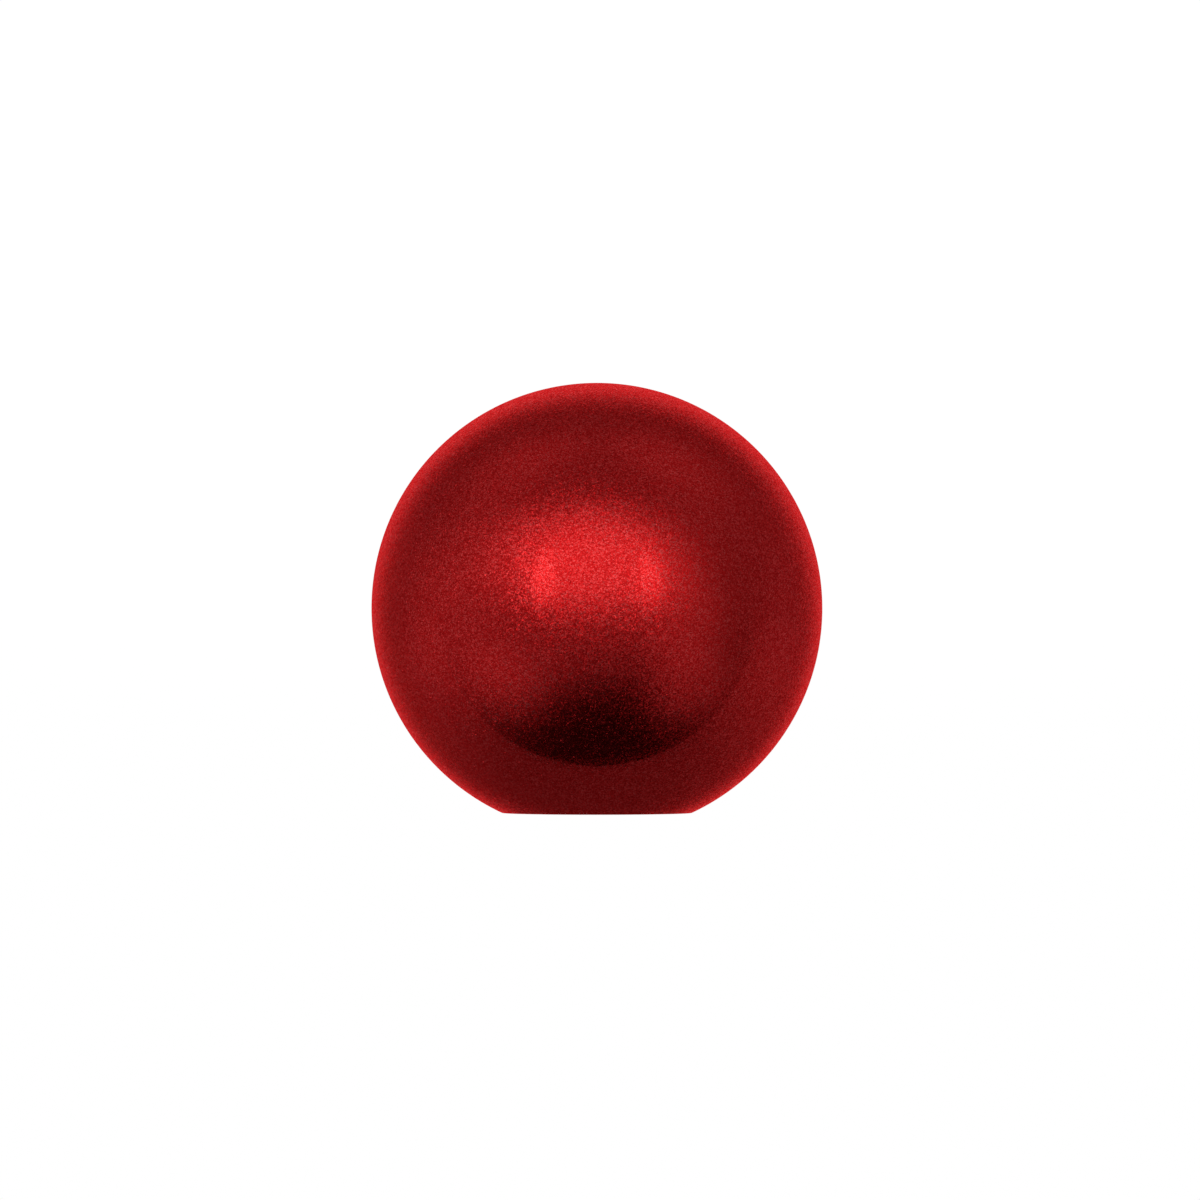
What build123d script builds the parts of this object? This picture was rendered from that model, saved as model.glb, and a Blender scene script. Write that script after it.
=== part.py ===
"""Metal-flake ball knob for a gear lever, with a screw-in thread adapter.

Frame: millimetres, +Z up, origin at the middle of the flat seat. The ball stands on its
seat, with the threaded mouth facing down. Threads are right-hand ISO metric threads, drawn
as plain cylinders: the lever thread at its minor diameter, the other at its pitch diameter.
"""

import os
from math import sqrt

from build123d import *

os.makedirs("parts", exist_ok=True)

# Ball
ball_diameter = 54.0
centre_height = 24.5  # of the ball's centre above the seat
rim_radius = 0.5  # where the ball turns into the seat
clear_thickness = 0.25
flake_thickness = 0.15

# Insert, which the core is moulded round
insert_diameter = 20.0
insert_length = 25.0
insert_thread_diameter = 16.0
insert_thread_pitch = 1.5
insert_bore_depth = 22.0
insert_end_chamfer = 1.0
land_length = 3.0  # plain land at each end of the insert
knurl_length = 8.0  # each of the two knurled bands
knurl_diameter = 21.0
knurl_depth = 0.4
knurl_teeth = 48
groove_diameter = 18.4  # locking groove between the bands
counterbore_diameter = 17.8
counterbore_depth = 2.5

# Adapter, which turns the insert's thread into the lever's thread
lever_thread_diameter = 10.0
lever_thread_pitch = 1.5
adapter_recess = 0.2  # below the seat face, so that the seat alone meets the lever boot
adapter_turns = 10  # engaged thread, in turns
head_diameter = 17.4
head_thickness = 1.2
neck_diameter = 14.9
neck_length = 1.6
thread_play = 0.04  # radial, between the adapter and the insert
lever_chamfer = 0.6
adapter_end_chamfer = 0.5
head_chamfer = 0.2
slot_width = 2.0
slot_depth = 0.8

# Seal, a round ring that sits on the neck under the head
seal_bore = 15.0
seal_section = 1.0

# Worked out from the values above
ball_radius = ball_diameter / 2
core_inset = clear_thickness + flake_thickness
insert_radius = insert_diameter / 2
pitch_radius = (insert_thread_diameter - 0.6495 * insert_thread_pitch) / 2
lever_minor_radius = (lever_thread_diameter - 1.0825 * lever_thread_pitch) / 2
first_knurl = land_length
second_knurl = insert_length - land_length - knurl_length
head_top = adapter_recess + head_thickness
adapter_thread_start = head_top + neck_length
adapter_top = adapter_thread_start + adapter_turns * insert_thread_pitch
adapter_thread_radius = pitch_radius - thread_play


def ball_section(inset):
    """Half section of the solid ball on its flat seat, inset all over from the outer surface."""
    radius = ball_radius - inset
    pole = (0, centre_height + radius)
    corner = (sqrt(radius**2 - (centre_height - inset) ** 2), inset)
    with BuildSketch() as section:
        with BuildLine():
            ThreePointArc(pole, (radius, centre_height), corner)
            Polyline(corner, (0, inset), pole)
        make_face()
        fillet(section.vertices().sort_by(Axis.X)[-1], radius=rim_radius - inset)
    return section.sketch


def coat_section(outer_inset, inner_inset):
    """Half section of one coat, which stops at the insert's land on the seat face."""
    with BuildSketch() as section:
        add(ball_section(outer_inset))
        add(ball_section(inner_inset), mode=Mode.SUBTRACT)
        Rectangle(insert_radius, land_length, align=Align.MIN, mode=Mode.SUBTRACT)
    return section.sketch


# Insert's outer form: two knurled bands with a locking groove between them
with BuildPart() as insert_form:
    with BuildSketch(Plane.XZ):
        Rectangle(insert_radius, insert_length, align=Align.MIN)
        for knurl_start in (first_knurl, second_knurl):
            with Locations((0, knurl_start)):
                Rectangle(knurl_diameter / 2, knurl_length, align=Align.MIN)
        with Locations((groove_diameter / 2, first_knurl + knurl_length)):
            Rectangle(
                knurl_diameter / 2,
                second_knurl - first_knurl - knurl_length,
                align=Align.MIN,
                mode=Mode.SUBTRACT,
            )
    revolve(axis=Axis.Z)
    chamfer(insert_form.faces().sort_by(Axis.Z)[-1].edges(), length=insert_end_chamfer)
    for knurl_start in (first_knurl, second_knurl):
        with BuildSketch(Plane.XY.offset(knurl_start)):
            with PolarLocations(knurl_diameter / 2, knurl_teeth):
                Rectangle(knurl_depth * sqrt(2), knurl_depth * sqrt(2), rotation=45)
        extrude(amount=knurl_length, mode=Mode.SUBTRACT)

# Core: moulded resin ball, closed round the insert
with BuildPart() as ball_core:
    with BuildSketch(Plane.XZ):
        add(ball_section(core_inset))
    revolve(axis=Axis.Z)
    add(insert_form.part, mode=Mode.SUBTRACT)
ball_core.part.label = "ball_core"

# Flake coat: the metal-flake layer on the core
with BuildPart() as flake_coat:
    with BuildSketch(Plane.XZ):
        add(coat_section(clear_thickness, core_inset))
    revolve(axis=Axis.Z)
flake_coat.part.label = "flake_coat"

# Clear coat: the glossy outer layer
with BuildPart() as clear_coat:
    with BuildSketch(Plane.XZ):
        add(coat_section(0, clear_thickness))
    revolve(axis=Axis.Z)
clear_coat.part.label = "clear_coat"

# Threaded insert: blind brass bush with a counterbore in its mouth
with BuildPart() as threaded_insert:
    add(insert_form.part)
    with BuildSketch():
        Circle(pitch_radius)
    extrude(amount=insert_bore_depth, mode=Mode.SUBTRACT)
    with BuildSketch():
        Circle(counterbore_diameter / 2)
    extrude(amount=counterbore_depth, mode=Mode.SUBTRACT)
threaded_insert.part.label = "threaded_insert"

# Thread adapter: headed sleeve with two driver slots across its head
with BuildPart() as thread_adapter:
    with BuildSketch(Plane.XZ):
        with Locations((0, adapter_recess)):
            Rectangle(head_diameter / 2, head_thickness, align=Align.MIN)
        with Locations((0, head_top)):
            Rectangle(neck_diameter / 2, neck_length, align=Align.MIN)
        with Locations((0, adapter_thread_start)):
            Rectangle(
                adapter_thread_radius,
                adapter_top - adapter_thread_start,
                align=Align.MIN,
            )
    revolve(axis=Axis.Z)
    chamfer(thread_adapter.faces().sort_by(Axis.Z)[-1].edges(), length=adapter_end_chamfer)
    chamfer(thread_adapter.faces().sort_by(Axis.Z)[0].edges(), length=head_chamfer)
    with BuildSketch(Plane.XY.offset(adapter_recess)):
        Circle(lever_minor_radius)
    extrude(amount=adapter_top - adapter_recess, mode=Mode.SUBTRACT)
    bore_mouths = thread_adapter.edges().filter_by(
        lambda edge: edge.geom_type == GeomType.CIRCLE
        and abs(edge.radius - lever_minor_radius) < 0.001
    )
    chamfer(bore_mouths, length=lever_chamfer)
    with BuildSketch(Plane.XY.offset(adapter_recess)):
        Rectangle(head_diameter, slot_width)
    extrude(amount=slot_depth, mode=Mode.SUBTRACT)
thread_adapter.part.label = "thread_adapter"

# Seal: round rubber ring between the adapter's head and the counterbore's floor
with BuildPart() as adapter_seal:
    with BuildSketch(Plane.XZ):
        with Locations(((seal_bore + seal_section) / 2, (head_top + counterbore_depth) / 2)):
            Circle(seal_section / 2)
    revolve(axis=Axis.Z)
adapter_seal.part.label = "adapter_seal"

for piece in (ball_core, flake_coat, clear_coat, threaded_insert, thread_adapter, adapter_seal):
    export_step(piece.part, f"parts/{piece.part.label}.step")
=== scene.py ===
"""Looks of the metal-flake ball knob: painted ball, brass insert, thread adapter and seal.

Metres, +Z up, origin at the middle of the flat seat. The camera looks along +Y.
"""

from math import asin, ceil, cos, floor, pi, radians, sin, sqrt

import bmesh
import bpy
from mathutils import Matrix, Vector


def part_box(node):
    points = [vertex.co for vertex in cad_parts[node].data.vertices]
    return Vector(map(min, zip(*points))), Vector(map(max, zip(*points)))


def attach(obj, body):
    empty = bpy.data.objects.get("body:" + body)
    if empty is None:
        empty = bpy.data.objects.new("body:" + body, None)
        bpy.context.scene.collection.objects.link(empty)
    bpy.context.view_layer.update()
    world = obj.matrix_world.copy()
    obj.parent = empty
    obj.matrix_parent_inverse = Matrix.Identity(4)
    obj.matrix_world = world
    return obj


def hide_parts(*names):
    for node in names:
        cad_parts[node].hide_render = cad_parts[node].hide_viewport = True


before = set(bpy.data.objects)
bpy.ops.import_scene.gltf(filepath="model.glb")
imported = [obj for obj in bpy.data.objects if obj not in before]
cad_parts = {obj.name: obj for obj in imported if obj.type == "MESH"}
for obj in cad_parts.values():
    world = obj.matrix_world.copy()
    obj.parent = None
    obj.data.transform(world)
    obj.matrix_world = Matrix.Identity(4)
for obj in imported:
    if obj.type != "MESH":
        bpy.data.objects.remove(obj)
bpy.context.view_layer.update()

MM = 0.001

# Columns of points round the Z axis, and the distance below which points are merged
COLUMNS = 96
MERGE_DISTANCE = 1e-7

# Ball, from the CAD boxes of its coats and core
BALL_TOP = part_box("clear_coat")[1].z
BALL_RADIUS = 27.0 * MM
BALL_CENTRE = BALL_TOP - BALL_RADIUS
COAT_THICKNESS = BALL_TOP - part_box("ball_core")[1].z
RIM_RADIUS = 0.5 * MM
BALL_STEPS = 160
CORE_STEPS = 60
RIM_STEPS = 10

# Threads, ISO metric, both of one pitch. PLAY keeps the adapter's outer thread clear of the insert's.
# THREAD_ROWS are the places along one pitch where a row of points lies: root, flanks and crest.
PITCH = 1.5 * MM
THREAD_DEPTH = 0.5413 * PITCH
PLAY = 0.05 * MM
OUTER_THREAD = 8.0 * MM
LEVER_THREAD = 5.0 * MM
THREAD_ROWS = (0, 0.125, 0.28125, 0.4375, 0.5, 0.5625, 0.71875, 0.875)

# Insert
INSERT_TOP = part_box("threaded_insert")[1].z
INSERT_RADIUS = 10.0 * MM
INSERT_EDGE = 0.15 * MM
INSERT_END_CHAMFER = 1.0 * MM
KNURL_RADIUS = 10.5 * MM
KNURL_DEPTH = 0.4 * MM
KNURL_BEVEL = 0.3 * MM
LAND_LENGTH = 3.0 * MM
KNURL_LENGTH = 8.0 * MM
GROOVE_RADIUS = 9.2 * MM
COUNTERBORE_RADIUS = 8.9 * MM
COUNTERBORE_DEPTH = 2.5 * MM
BORE_DEPTH = 22.0 * MM
RELIEF_RADIUS = 8.15 * MM
RELIEF_LENGTH = 2.0 * MM

# Adapter
ADAPTER_BOTTOM, ADAPTER_TOP = (corner.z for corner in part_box("thread_adapter"))
HEAD_RADIUS = 8.7 * MM
HEAD_THICKNESS = 1.2 * MM
HEAD_CHAMFER = 0.2 * MM
NECK_RADIUS = 7.45 * MM
NECK_LENGTH = 1.6 * MM
NECK_TAPER = 0.4 * MM
ADAPTER_END_CHAMFER = 0.5 * MM
SLOT_WIDTH = 2.0 * MM
SLOT_DEPTH = 0.8 * MM
SLOT_REACH = HEAD_RADIUS * 1.1

# Paint: a share is a layer's part in the mix, a tilt says how far flakes lean
FLAKE_SIZE = 0.13 * MM
FLAKE_TILT = 0.20
FLAKE_ROUGHNESS = 0.05
FLAKE_DIMMEST = 0.30
GLINT_SHARE = 0.30
GLINT_RARITY = 3.0
GLINT_TILT = 0.9
GLINT_ROUGHNESS = 0.15
LACQUER_SHARE = 0.27
LACQUER_ROUGHNESS = 0.06
SHEEN_SHARE = 0.10
SHEEN_RARITY = 4.0
SHEEN_ROUGHNESS = 0.10
FLAKE_RED = (0.80, 0.0125, 0.014, 1)
GLINT_RED = (1.0, 0.040, 0.044, 1)
LACQUER_RED = (0.88, 0.014, 0.016, 1)
SHEEN_PINK = (1.0, 0.60, 0.60, 1)

# Turned metal: how its rings, stains and scratches add up to dullness and wear
BRASS = (0.72, 0.49, 0.20, 1)
OLD_BRASS = (0.36, 0.20, 0.07, 1)
ALUMINIUM = (0.80, 0.80, 0.82, 1)
DULL_ALUMINIUM = (0.50, 0.50, 0.52, 1)
RING_SHARE = 0.35
RING_HEIGHT = 0.03 * MM
STAIN_SHARE = 0.5
SCRATCH_SHARE = 0.25
SCRATCHES_PER_STAIN = 12
DULL_FROM, DULL_TO = 0.40, 0.75
DULL_WEAR = 0.25
WEAR_ROUGHNESS = 0.6

# Moulded resin and rubber: colour, dusty colour, and how the dust lies
RESIN = (0.09, 0.012, 0.012, 1)
DUSTY_RESIN = (0.16, 0.03, 0.028, 1)
RUBBER = (0.018, 0.018, 0.019, 1)
DUSTY_RUBBER = (0.045, 0.044, 0.042, 1)
DUST_FROM, DUST_TO = 0.35, 0.70
DUST_PER_GRAIN = 10
DUST_ROUGHNESS = 0.12
GRAIN_STRENGTH = 0.6

# Stage. The table starts under the front of the ball and shows only in reflections. The floor fades
# out between two values of Facing, which is 0 face on and 1 edge on.
WHITE = (1, 1, 1, 1)
TABLE_FRONT = -19.8 * MM
TABLE_HALF = 500 * MM
TABLE_HEIGHT = -0.1 * MM
TABLE_GLOW = 0.13
TABLE_GLOW_REACH = 150 * MM
FLOOR_HALF = 1500 * MM
FLOOR_HEIGHT = -0.05 * MM
FLOOR_GREY = (0.58, 0.58, 0.58, 1)
FLOOR_PALER_GREY = (0.62, 0.62, 0.62, 1)
FLOOR_GRAIN = 1 / 900
FLOOR_GLOW = 0.60
EDGE_ON_FROM, EDGE_ON_TO = 0.80, 0.90
LIGHT_FALLOFF = 1.5

# Camera, level and a little right of the axis and above the ball's centre
CAMERA_DISTANCE = 1.30
CAMERA_ASIDE = 0.37 * MM
CAMERA_RAISE = 1.0 * MM
CAMERA_REACH = 20
FRAME_WIDTH = 143.7 * MM
SENSOR = 36.0 * MM


# ---------------------------------------------------------------- mesh helpers


def wall(mesh, outline_at, shift=0):
    """A surface round Z, with one outline of (radius, height) points for each column.

    After a full turn a point meets the one `shift` places further on, so that a thread closes.
    """
    lines = []
    for column in range(COLUMNS):
        turn = 2 * pi * column / COLUMNS
        points = outline_at(column / COLUMNS)
        lines.append([mesh.verts.new((r * cos(turn), r * sin(turn), z)) for r, z in points])
    pairs = [(lines[k], lines[k + 1]) for k in range(COLUMNS - 1)]
    pairs.append((lines[-1], lines[0][shift:]))
    for here, there in pairs:
        for k in range(len(there) - 1):
            mesh.faces.new((here[k], there[k], there[k + 1], here[k + 1]))


def thread(low, high, radius_at):
    """Outlines of a screw thread between two heights, lowest point first.

    The rows reach past both ends, and what is past an end is pressed flat onto it.
    """
    turns = range(floor(low / PITCH) - 2, ceil(high / PITCH) + 2)
    rows = [turn + step for turn in turns for step in THREAD_ROWS]

    def outline_at(share):
        points = []
        for row in rows:
            height = min(max((row + share) * PITCH, low), high)
            points.append((radius_at(height, (height / PITCH - share) % 1), height))
        return points

    return outline_at


def thread_radius(place, largest):
    """Radius of an ISO thread at a place in its pitch: the crest is at one half, the root at zero."""
    crest_end, root_start = 1 / 16, 3 / 8
    fall = (abs(place - 0.5) - crest_end) / (root_start - crest_end)
    return largest - THREAD_DEPTH * min(max(fall, 0), 1)


def set_creases(mesh, crease=radians(35)):
    """Smooth shading, except across edges sharper than the crease angle."""
    for face in mesh.faces:
        face.smooth = True
    for edge in mesh.edges:
        edge.smooth = edge.calc_face_angle(pi) < crease


def finish_mesh(name, mesh):
    """Turns a bmesh into an object, with doubled points merged and normals outwards."""
    bmesh.ops.remove_doubles(mesh, verts=mesh.verts, dist=MERGE_DISTANCE)
    bmesh.ops.recalc_face_normals(mesh, faces=mesh.faces)
    set_creases(mesh)
    data = bpy.data.meshes.new(name)
    mesh.to_mesh(data)
    mesh.free()
    piece = bpy.data.objects.new(name, data)
    bpy.context.scene.collection.objects.link(piece)
    return piece


def arc(centre, radius, start, stop, steps):
    """Points of an arc in the (radius, height) plane, angles from the +radius direction."""
    angles = [start + (stop - start) * k / steps for k in range(steps + 1)]
    return [(centre[0] + radius * cos(a), centre[1] + radius * sin(a)) for a in angles]


# ---------------------------------------------------------------- the ball's skin


def ball_outline(inset, steps):
    """From the pole round the ball and the rim to the seat's edge, inset all over."""
    radius, seat, rim = BALL_RADIUS - inset, inset, RIM_RADIUS - inset
    rim_height = seat + rim
    rim_centre = sqrt((radius - rim) ** 2 - (BALL_CENTRE - rim_height) ** 2)
    meet = asin((rim_height - BALL_CENTRE) / (radius - rim))
    ball = arc((0, BALL_CENTRE), radius, pi / 2, meet, steps)
    turn = arc((rim_centre, rim_height), rim, meet, -pi / 2, RIM_STEPS)
    return [(0, BALL_CENTRE + radius)] + ball[1:-1] + turn


def painted_ball():
    """The two coats as one closed shell, from the outer surface to the core."""
    mesh = bmesh.new()
    outer = ball_outline(0, BALL_STEPS)
    inner = ball_outline(COAT_THICKNESS, CORE_STEPS)
    shell = outer + [(INSERT_RADIUS, 0), (INSERT_RADIUS, COAT_THICKNESS)] + inner[::-1]
    wall(mesh, lambda share: shell)
    return finish_mesh("painted_ball", mesh)


# ---------------------------------------------------------------- insert and adapter


def knurled(share):
    """Radius of the knurled bands at a share of a turn: every other column is in a groove."""
    return KNURL_RADIUS - KNURL_DEPTH * (round(share * COLUMNS) % 2 == 0)


def insert_outside(share):
    """From the middle of the closed end, down the outside and into the counterbore."""
    upper, lower = INSERT_TOP - LAND_LENGTH - KNURL_LENGTH, LAND_LENGTH
    points = [
        (0, INSERT_TOP),
        (INSERT_RADIUS - INSERT_END_CHAMFER, INSERT_TOP),
        (INSERT_RADIUS, INSERT_TOP - INSERT_END_CHAMFER),
    ]
    crest, above = knurled(share), INSERT_RADIUS
    for start, below in ((upper, GROOVE_RADIUS), (lower, INSERT_RADIUS)):
        end = start + KNURL_LENGTH
        points += [
            (above, end),
            (crest, end - KNURL_BEVEL),
            (crest, start + KNURL_BEVEL),
            (below, start),
        ]
        above = below
    return points + [
        (INSERT_RADIUS, INSERT_EDGE),
        (INSERT_RADIUS - INSERT_EDGE, 0),
        (COUNTERBORE_RADIUS + INSERT_EDGE, 0),
        (COUNTERBORE_RADIUS, INSERT_EDGE),
        (COUNTERBORE_RADIUS, COUNTERBORE_DEPTH),
    ]


def brass_insert():
    """Blind bush with knurled bands outside and a cut thread inside."""
    thread_end = BORE_DEPTH - RELIEF_LENGTH
    mouth = OUTER_THREAD + PLAY

    def bore_radius(height, place):
        from_mouth = mouth - (height - COUNTERBORE_DEPTH)
        from_end = RELIEF_RADIUS - (thread_end - height)
        return max(thread_radius(place, OUTER_THREAD + PLAY / 2), from_mouth, from_end)

    mesh = bmesh.new()
    wall(mesh, lambda share: insert_outside(share) + [(mouth, COUNTERBORE_DEPTH)])
    wall(mesh, thread(COUNTERBORE_DEPTH, thread_end, bore_radius), len(THREAD_ROWS))
    end = [(RELIEF_RADIUS, thread_end), (RELIEF_RADIUS, BORE_DEPTH), (0, BORE_DEPTH)]
    wall(mesh, lambda share: end)
    return finish_mesh("brass_insert", mesh)


def headed_adapter():
    """Headed sleeve with a thread outside and one inside, and driver slots across its head."""
    low, high = ADAPTER_BOTTOM, ADAPTER_TOP
    head_top = low + HEAD_THICKNESS
    thread_start = head_top + NECK_LENGTH
    outer_foot = OUTER_THREAD - PLAY - THREAD_DEPTH
    outer_end = outer_foot + PLAY - ADAPTER_END_CHAMFER / 2
    mouth = LEVER_THREAD + PLAY

    def outside_radius(height, place):
        from_end = outer_end + (high - height)
        from_start = outer_foot + (height - thread_start)
        return min(thread_radius(place, OUTER_THREAD - PLAY), from_start, from_end)

    def bore_radius(height, place):
        from_ends = mouth - min(height - low, high - height)
        return max(thread_radius(place, LEVER_THREAD), from_ends)

    head = [
        (mouth, low),
        (HEAD_RADIUS - HEAD_CHAMFER, low),
        (HEAD_RADIUS, low + HEAD_CHAMFER),
        (HEAD_RADIUS, head_top - HEAD_CHAMFER / 2),
        (HEAD_RADIUS - HEAD_CHAMFER / 2, head_top),
        (NECK_RADIUS, head_top),
        (NECK_RADIUS, thread_start - 2 * NECK_TAPER),
        (outer_foot, thread_start - NECK_TAPER),
        (outer_foot, thread_start),
    ]
    mesh = bmesh.new()
    wall(mesh, lambda share: head)
    wall(mesh, thread(thread_start, high, outside_radius), len(THREAD_ROWS))
    wall(mesh, lambda share: [(outer_end, high), (mouth, high)])
    wall(mesh, thread(low, high, bore_radius), len(THREAD_ROWS))
    adapter = finish_mesh("headed_adapter", mesh)
    cut_slots(adapter)
    return adapter


def cut_slots(adapter):
    """Cuts the driver slots, on either side of the bore along X, up from the head's face."""
    mesh = bmesh.new()
    bmesh.ops.create_cube(mesh, size=2.0)
    half_size = Vector((SLOT_REACH, SLOT_WIDTH / 2, SLOT_DEPTH))
    for vertex in mesh.verts:
        vertex.co = vertex.co * half_size + Vector((0, 0, ADAPTER_BOTTOM))
    cutter = finish_mesh("slot_cutter", mesh)
    slots = adapter.modifiers.new("slots", "BOOLEAN")
    slots.operation = "DIFFERENCE"
    slots.object = cutter
    evaluated = adapter.evaluated_get(bpy.context.evaluated_depsgraph_get())
    cut_mesh = bmesh.new()
    cut_mesh.from_mesh(evaluated.to_mesh())
    adapter.modifiers.clear()
    set_creases(cut_mesh)
    cut_mesh.to_mesh(adapter.data)
    cut_mesh.free()
    bpy.data.objects.remove(cutter)


# ---------------------------------------------------------------- materials


class Nodes:
    """Short names for adding nodes to a tree and joining them."""

    def __init__(self, owner):
        owner.use_nodes = True
        self.tree = owner.node_tree
        self.tree.nodes.clear()

    def add(self, kind, inputs=None, **settings):
        """A node whose inputs are linked where given a socket, and set where given a value."""
        node = self.tree.nodes.new("ShaderNode" + kind)
        for name, value in settings.items():
            setattr(node, name, value)
        for key, value in (inputs or {}).items():
            if isinstance(value, bpy.types.NodeSocket):
                self.tree.links.new(value, node.inputs[key])
            else:
                node.inputs[key].default_value = value
        return node

    def math(self, operation, first, second=0.0, third=0.0):
        inputs = {0: first, 1: second, 2: third}
        return self.add("Math", inputs, operation=operation).outputs[0]

    def vector(self, operation, first, second=(0, 0, 0)):
        return self.add("VectorMath", {0: first, 1: second}, operation=operation).outputs[0]

    def scaled(self, vector, factor):
        inputs = {0: vector, "Scale": factor}
        return self.add("VectorMath", inputs, operation="SCALE").outputs[0]

    def length(self, vector):
        return self.add("VectorMath", {0: vector}, operation="LENGTH").outputs["Value"]

    def noise(self, vector, size, detail):
        inputs = {"Vector": vector, "Scale": 1 / size, "Detail": detail}
        return self.add("TexNoise", inputs).outputs[0]

    def ramp(self, value, start, stop):
        """Goes smoothly from 0 to 1 while the value goes from start to stop."""
        inputs = {"Value": value, "From Min": start, "From Max": stop}
        return self.add("MapRange", inputs, interpolation_type="SMOOTHSTEP").outputs[0]

    def mix(self, share, first, second):
        """Mixes two colours, which are the sockets 6 and 7 of the node."""
        inputs = {"Factor": share, 6: first, 7: second}
        return self.add("Mix", inputs, data_type="RGBA").outputs[2]

    def layer(self, share, under, over):
        """Mixes two shaders: the share is the upper one's."""
        inputs = {0: share, 1: under.outputs[0], 2: over.outputs[0]}
        return self.add("MixShader", inputs)

    def sum(self, first, second):
        """Adds the light of two shaders."""
        return self.add("AddShader", {0: first.outputs[0], 1: second.outputs[0]})

    def bump(self, height, strength, distance):
        inputs = {"Height": height, "Strength": strength, "Distance": distance}
        return self.add("Bump", inputs).outputs[0]

    def place(self, output="Object"):
        return self.add("TexCoord").outputs[output]

    def output(self, kind, shader):
        """Ends the tree with the shader as its surface."""
        self.add(kind, {"Surface": shader.outputs[0]})


def leaning(nodes, lean, amount):
    """The surface normal, leaned over by a random vector."""
    smooth = nodes.add("NewGeometry").outputs["Normal"]
    return nodes.vector("NORMALIZE", nodes.vector("ADD", smooth, nodes.scaled(lean, amount)))


def flake_paint():
    """Candy red metal flake under clear lacquer.

    Each flake has its own tilt and brightness. A few also glint from far off the highlights,
    and the brightest carry a pale sheen, which shows where the light is strong.
    """
    material = bpy.data.materials.new("candy_red_flake")
    nodes = Nodes(material)
    cell = nodes.add("TexVoronoi", {"Vector": nodes.place(), "Scale": 1 / FLAKE_SIZE})
    chance = nodes.add("TexWhiteNoise", {"Vector": cell.outputs["Position"]})
    lean = nodes.vector("ADD", cell.outputs["Color"], chance.outputs["Color"])
    lean = nodes.vector("SUBTRACT", lean, (1, 1, 1))
    shade = nodes.add("SeparateXYZ", {0: cell.outputs["Color"]}).outputs["X"]
    brightness = nodes.math("MULTIPLY_ADD", shade, 1 - FLAKE_DIMMEST, FLAKE_DIMMEST)
    flake = nodes.add("BsdfAnisotropic", {
        "Color": nodes.scaled(FLAKE_RED[:3], brightness),
        "Roughness": FLAKE_ROUGHNESS,
        "Normal": leaning(nodes, lean, FLAKE_TILT),
    })
    glint = nodes.add("BsdfAnisotropic", {
        "Color": GLINT_RED,
        "Roughness": GLINT_ROUGHNESS,
        "Normal": leaning(nodes, lean, GLINT_TILT),
    })
    lacquer = nodes.add("BsdfAnisotropic", {"Color": LACQUER_RED, "Roughness": LACQUER_ROUGHNESS})
    sheen = nodes.add("BsdfAnisotropic", {"Color": SHEEN_PINK, "Roughness": SHEEN_ROUGHNESS})
    glints = nodes.math("POWER", chance.outputs["Value"], GLINT_RARITY)
    glints = nodes.math("MULTIPLY", glints, GLINT_SHARE)
    sheens = nodes.math("POWER", shade, SHEEN_RARITY)
    sheens = nodes.math("MULTIPLY", sheens, SHEEN_SHARE)
    flakes = nodes.layer(glints, flake, glint)
    lacquered = nodes.layer(LACQUER_SHARE, flakes, lacquer)
    nodes.output("OutputMaterial", nodes.layer(sheens, lacquered, sheen))
    return material


def turned_metal(name, clean, dull, roughness, line_width, stain_size):
    """Metal as it comes off a lathe: fine rings round Z, and a dull stain that comes and goes."""
    material = bpy.data.materials.new(name)
    nodes = Nodes(material)
    place = nodes.place()
    axes = nodes.add("SeparateXYZ", {0: place}).outputs
    flat = nodes.add("CombineXYZ", {"X": axes["X"], "Y": axes["Y"]}).outputs[0]
    along = nodes.math("ADD", nodes.length(flat), axes["Z"])
    inputs = {"W": along, "Scale": 1 / line_width, "Detail": 3.0}
    rings = nodes.add("TexNoise", inputs, noise_dimensions="1D").outputs[0]
    stain = nodes.noise(place, stain_size, detail=6.0)
    scratch = nodes.noise(place, stain_size / SCRATCHES_PER_STAIN, detail=8.0)
    scratches = nodes.math("MULTIPLY", scratch, SCRATCH_SHARE)
    uneven = nodes.math("MULTIPLY_ADD", stain, STAIN_SHARE, scratches)
    dullness = nodes.math("MULTIPLY_ADD", rings, RING_SHARE, uneven)
    dullness = nodes.ramp(dullness, DULL_FROM, DULL_TO)
    wear = nodes.math("MULTIPLY", dullness, DULL_WEAR)
    wear = nodes.math("MULTIPLY_ADD", rings, RING_SHARE, wear)
    shader = nodes.add("BsdfPrincipled", {
        "Base Color": nodes.mix(dullness, clean, dull),
        "Metallic": 1.0,
        "Roughness": nodes.math("MULTIPLY_ADD", wear, WEAR_ROUGHNESS, roughness),
        "Normal": nodes.bump(rings, strength=1.0, distance=RING_HEIGHT),
    })
    nodes.output("OutputMaterial", shader)
    return material


def moulded(name, colour, dusty_colour, roughness, grain_size, grain_depth):
    """Moulded resin or rubber: a fine grain, and dust that lies in patches."""
    material = bpy.data.materials.new(name)
    nodes = Nodes(material)
    place = nodes.place()
    dust = nodes.noise(place, grain_size * DUST_PER_GRAIN, detail=6.0)
    dust = nodes.ramp(dust, DUST_FROM, DUST_TO)
    grain = nodes.noise(place, grain_size, detail=4.0)
    shader = nodes.add("BsdfPrincipled", {
        "Base Color": nodes.mix(dust, colour, dusty_colour),
        "Roughness": nodes.math("MULTIPLY_ADD", dust, DUST_ROUGHNESS, roughness),
        "Normal": nodes.bump(grain, GRAIN_STRENGTH, grain_depth),
    })
    nodes.output("OutputMaterial", shader)
    return material


def dress(node, material):
    """Gives a CAD node its material in place of the plain one."""
    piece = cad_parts[node]
    piece.data.materials.clear()
    piece.data.materials.append(material)


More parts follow.
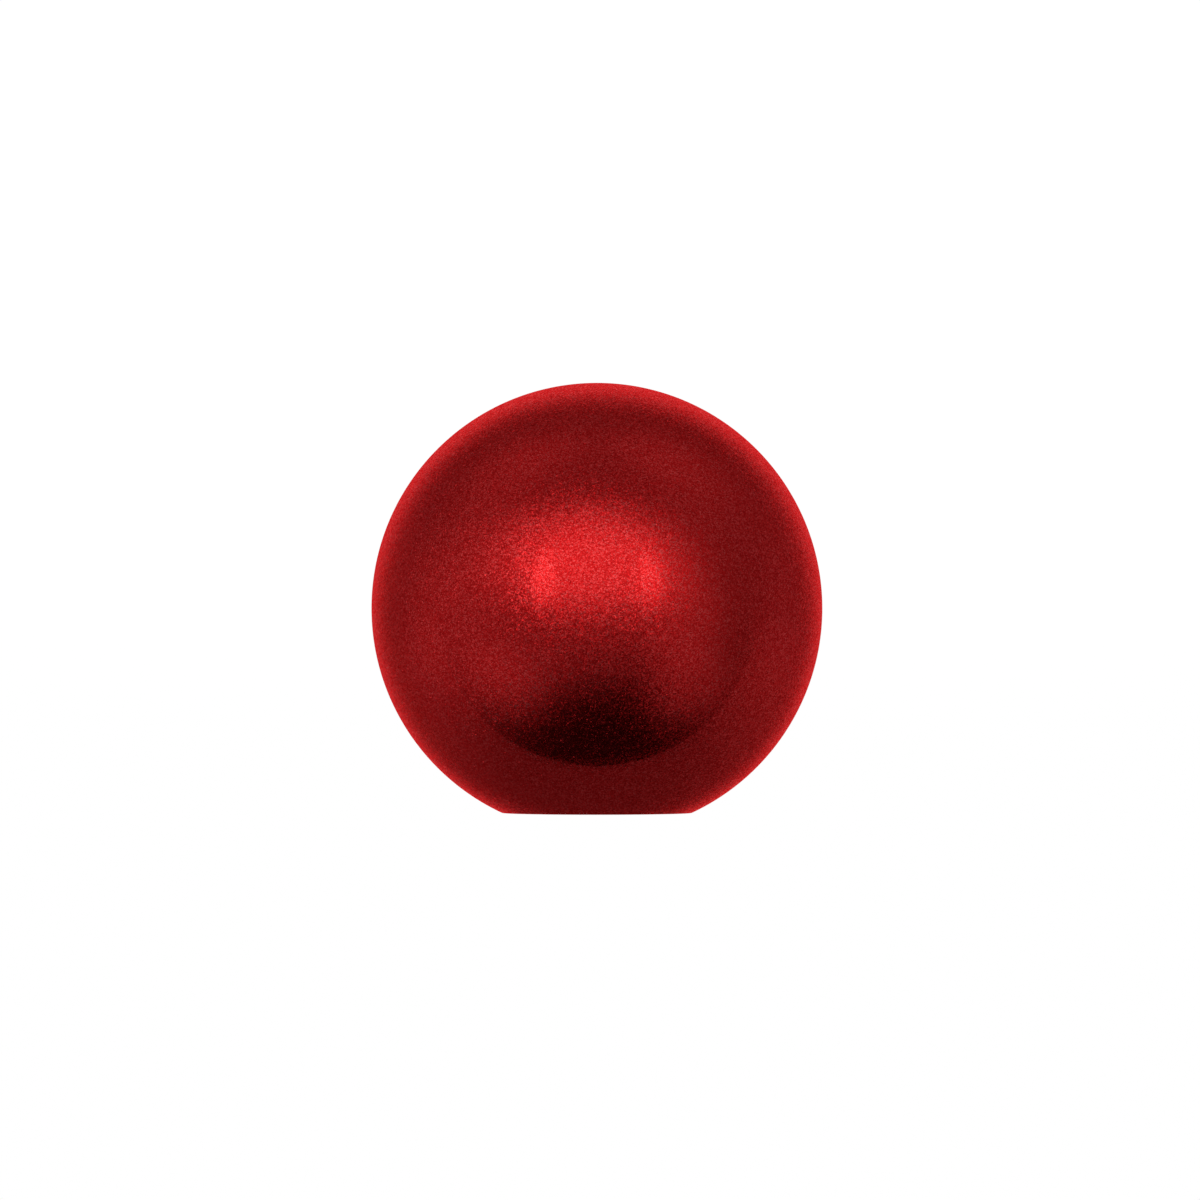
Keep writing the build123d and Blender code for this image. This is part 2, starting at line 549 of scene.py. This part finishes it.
# ---------------------------------------------------------------- pieces

ball = painted_ball()
ball.data.materials.append(flake_paint())
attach(ball, "knob")
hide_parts("flake_coat", "clear_coat")

insert = brass_insert()
insert.data.materials.append(turned_metal(
    "turned_brass", BRASS, OLD_BRASS, roughness=0.14, line_width=0.22 * MM, stain_size=3 * MM))
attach(insert, "knob")
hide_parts("threaded_insert")

adapter = headed_adapter()
adapter.data.materials.append(turned_metal(
    "turned_aluminium", ALUMINIUM, DULL_ALUMINIUM,
    roughness=0.16, line_width=0.20 * MM, stain_size=2 * MM))
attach(adapter, "adapter")
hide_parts("thread_adapter")

dress("ball_core", moulded(
    "cast_resin", RESIN, DUSTY_RESIN,
    roughness=0.45, grain_size=0.3 * MM, grain_depth=0.02 * MM))
dress("adapter_seal", moulded(
    "black_rubber", RUBBER, DUSTY_RUBBER,
    roughness=0.62, grain_size=0.06 * MM, grain_depth=0.008 * MM))

# ---------------------------------------------------------------- stage, light, camera

scene = bpy.context.scene
scene.view_settings.view_transform = "Standard"


def card(name, low, high, height):
    """A flat rectangle that lies face up."""
    mesh = bmesh.new()
    corners = ((low[0], low[1]), (high[0], low[1]), (high[0], high[1]), (low[0], high[1]))
    mesh.faces.new([mesh.verts.new((x, y, height)) for x, y in corners])
    piece = finish_mesh(name, mesh)
    return piece


def glow(name, radiance, reach):
    """Light that adds to whatever is behind it and fades with the distance from the ball."""
    material = bpy.data.materials.new(name)
    nodes = Nodes(material)
    far = nodes.math("DIVIDE", nodes.length(nodes.place()), reach)
    far = nodes.math("MULTIPLY", far, far)
    fade = nodes.math("DIVIDE", 1.0, nodes.math("ADD", far, 1.0))
    light = nodes.add("Emission", {"Color": fade, "Strength": radiance})
    behind = nodes.add("BsdfTransparent")
    nodes.output("OutputMaterial", nodes.sum(light, behind))
    return material


def floor_paint():
    """Pale matt floor with a glow of its own, which fades out seen edge on or from below."""
    material = bpy.data.materials.new("pale_floor")
    nodes = Nodes(material)
    grain = nodes.noise(nodes.place(), FLOOR_GRAIN, detail=3.0)
    grey = nodes.mix(grain, FLOOR_GREY, FLOOR_PALER_GREY)
    matt = nodes.add("BsdfDiffuse", {"Color": grey})
    light = nodes.add("Emission", {"Color": WHITE, "Strength": FLOOR_GLOW})
    facing = nodes.add("LayerWeight").outputs["Facing"]
    edge_on = nodes.ramp(facing, EDGE_ON_FROM, EDGE_ON_TO)
    underneath = nodes.add("NewGeometry").outputs["Backfacing"]
    gone = nodes.math("MAXIMUM", edge_on, underneath)
    clear = nodes.add("BsdfTransparent")
    nodes.output("OutputMaterial", nodes.layer(gone, nodes.sum(matt, light), clear))
    return material


def tent_light(nodes, azimuth, elevation, centre, half_size):
    """A soft round light: 1 in its middle, about a third at its half size, angles in degrees."""

    def squared_offset(angle, middle, half):
        offset = nodes.math("SUBTRACT", angle, radians(middle))
        offset = nodes.math("DIVIDE", offset, radians(half))
        return nodes.math("MULTIPLY", offset, offset)

    across = squared_offset(azimuth, centre[0], half_size[0])
    up = squared_offset(elevation, centre[1], half_size[1])
    falloff = nodes.math("POWER", nodes.math("ADD", across, up), LIGHT_FALLOFF)
    return nodes.math("EXPONENT", nodes.math("MULTIPLY", falloff, -1.0))


def studio_world(ambient, lights):
    """A soft light tent, with plain white for the camera itself.

    Azimuth is 0 towards the camera and grows to its right, which is +X.
    """
    world = bpy.data.worlds.new("studio")
    scene.world = world
    nodes = Nodes(world)
    axes = nodes.add("SeparateXYZ", {0: nodes.place("Generated")}).outputs
    towards = nodes.math("MULTIPLY", axes["Y"], -1.0)
    azimuth = nodes.math("ARCTAN2", axes["X"], towards)
    elevation = nodes.math("ARCSINE", axes["Z"])
    total = ambient
    for name, sides, centre, half_size, radiance in lights:
        around = nodes.math("ABSOLUTE", azimuth) if sides == "both" else azimuth
        shape = tent_light(nodes, around, elevation, centre, half_size)
        inputs = {0: shape, 1: radiance, 2: total}
        total = nodes.add("Math", inputs, operation="MULTIPLY_ADD", name=name).outputs[0]
    seen = nodes.add("LightPath").outputs["Is Camera Ray"]
    strength = nodes.math("MAXIMUM", total, seen)
    light = nodes.add("Background", {"Color": WHITE, "Strength": strength})
    nodes.output("OutputWorld", light)


# Name, on one side or both, middle and half size as (azimuth, elevation) in degrees, radiance.
# The key makes the broad highlight, "hot" its two brighter spots, "lobes" the two lobes below it,
# and the wall behind the ball makes its bright rim.
studio_world(0.015, (
    ("key", "one", (-4, 25), (52, 28), 1.17),
    ("skirt", "one", (-14, -19), (50, 23), 0.225),
    ("right_skirt", "one", (45, -6), (24, 22), 0.29),
    ("hot", "both", (28, 14), (7, 14), 0.80),
    ("sides", "both", (95, 25), (45, 55), 0.22),
    ("left", "one", (-75, 0), (30, 35), 0.185),
    ("wall", "both", (180, 11), (37, 34), 1.02),
    ("wall_ends", "both", (128, -12), (36, 34), 0.12),
    ("top", "both", (90, 90), (200, 45), 0.27),
    ("lobes", "both", (57, -35), (28, 18), 0.25),
))
table = card("table", (-TABLE_HALF, TABLE_FRONT), (TABLE_HALF, TABLE_HALF), TABLE_HEIGHT)
table.data.materials.append(glow("table_light", TABLE_GLOW, TABLE_GLOW_REACH))
table.visible_camera = table.visible_diffuse = table.visible_shadow = False

pale_floor = card("floor", (-FLOOR_HALF, -FLOOR_HALF), (FLOOR_HALF, FLOOR_HALF), FLOOR_HEIGHT)
pale_floor.data.materials.append(floor_paint())
pale_floor.visible_glossy = False

camera_data = bpy.data.cameras.new("camera")
camera_data.sensor_width = SENSOR / MM
camera_data.lens = SENSOR * CAMERA_DISTANCE / FRAME_WIDTH / MM
camera_data.clip_end = CAMERA_REACH
camera = bpy.data.objects.new("camera", camera_data)
scene.collection.objects.link(camera)
camera.location = (CAMERA_ASIDE, -CAMERA_DISTANCE, BALL_CENTRE + CAMERA_RAISE)
camera.rotation_euler = (pi / 2, 0, 0)
scene.camera = camera
